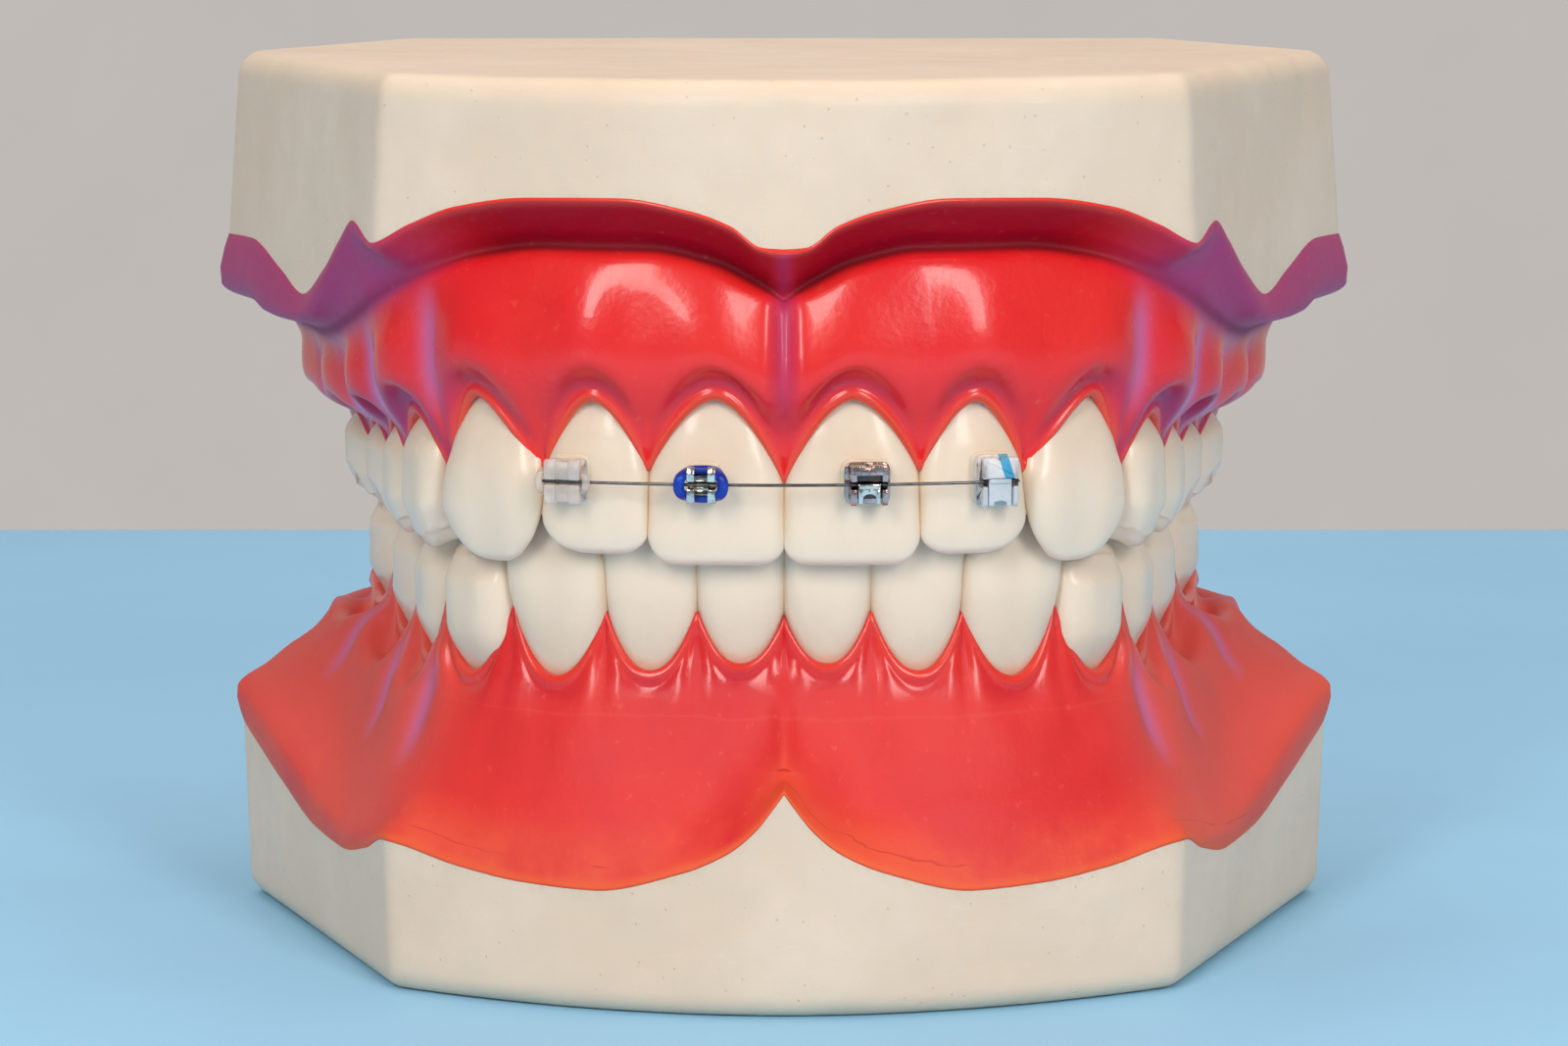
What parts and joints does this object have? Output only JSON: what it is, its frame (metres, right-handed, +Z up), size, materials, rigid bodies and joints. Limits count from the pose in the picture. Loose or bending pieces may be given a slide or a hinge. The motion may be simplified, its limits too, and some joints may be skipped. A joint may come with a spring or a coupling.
{
  "type": "orthodontic demonstration model with fixed braces",
  "caption": "Life-size model of both jaws in occlusion, with fixed braces of several kinds on the upper front teeth and one round archwire.",
  "frame": {"origin": "centre of the model's outer box, on the foot of the lower base", "axes": "+X to the viewer's right, +Y to the back of the mouth, +Z up; the braces face -Y"},
  "size_m": [0.0758, 0.057, 0.058],
  "materials": {
    "base_resin": "satin cast resin",
    "gum_resin": "glossy cast resin",
    "tooth_resin": "semi-gloss, slightly translucent",
    "bracket_steel": "polished",
    "wire_steel": "drawn",
    "clear_ceramic": "clear, polished",
    "milky_ceramic": "milky, polished",
    "blue_elastic": "smooth",
    "clear_elastic": "smooth, clear",
    "adhesive": "cured adhesive"
  },
  "bodies": {
    "model": {"archwire": "wire_steel", "blue_ring": "blue_elastic", "clear_bracket": "clear_ceramic", "clear_bracket_adhesive": "adhesive", "clear_ring": "clear_elastic", "clear_slider_adhesive": "adhesive", "clear_slider_bracket": "clear_ceramic", "lower_base": "base_resin", "lower_gum": "gum_resin", "lower_left_canine": "tooth_resin", "lower_left_central": "tooth_resin", "lower_left_first_molar": "tooth_resin", "lower_left_first_premolar": "tooth_resin", "lower_left_lateral": "tooth_resin", "lower_left_second_molar": "tooth_resin", "lower_left_second_premolar": "tooth_resin", "lower_right_canine": "tooth_resin", "lower_right_central": "tooth_resin", "lower_right_first_molar": "tooth_resin", "lower_right_first_premolar": "tooth_resin", "lower_right_lateral": "tooth_resin", "lower_right_second_molar": "tooth_resin", "lower_right_second_premolar": "tooth_resin", "steel_bracket": "bracket_steel", "steel_bracket_adhesive": "adhesive", "steel_slider_adhesive": "adhesive", "steel_slider_bracket": "bracket_steel", "upper_base": "base_resin", "upper_gum": "gum_resin", "upper_left_canine": "tooth_resin", "upper_left_central": "tooth_resin", "upper_left_first_molar": "tooth_resin", "upper_left_first_premolar": "tooth_resin", "upper_left_lateral": "tooth_resin", "upper_left_second_molar": "tooth_resin", "upper_left_second_premolar": "tooth_resin", "upper_right_canine": "tooth_resin", "upper_right_central": "tooth_resin", "upper_right_first_molar": "tooth_resin", "upper_right_first_premolar": "tooth_resin", "upper_right_lateral": "tooth_resin", "upper_right_second_molar": "tooth_resin", "upper_right_second_premolar": "tooth_resin"},
    "steel_door": {"steel_door": "bracket_steel"},
    "clear_door": {"clear_door": "milky_ceramic"}
  },
  "joints": [
    {"name": "steel_door_slide", "type": "slide", "parent": "model", "child": "steel_door", "axis": [0, 0, -1], "range_m": [0, 0.0011]},
    {"name": "clear_door_slide", "type": "slide", "parent": "model", "child": "clear_door", "axis": [0, 0, -1], "range_m": [0, 0.0011]}
  ]
}
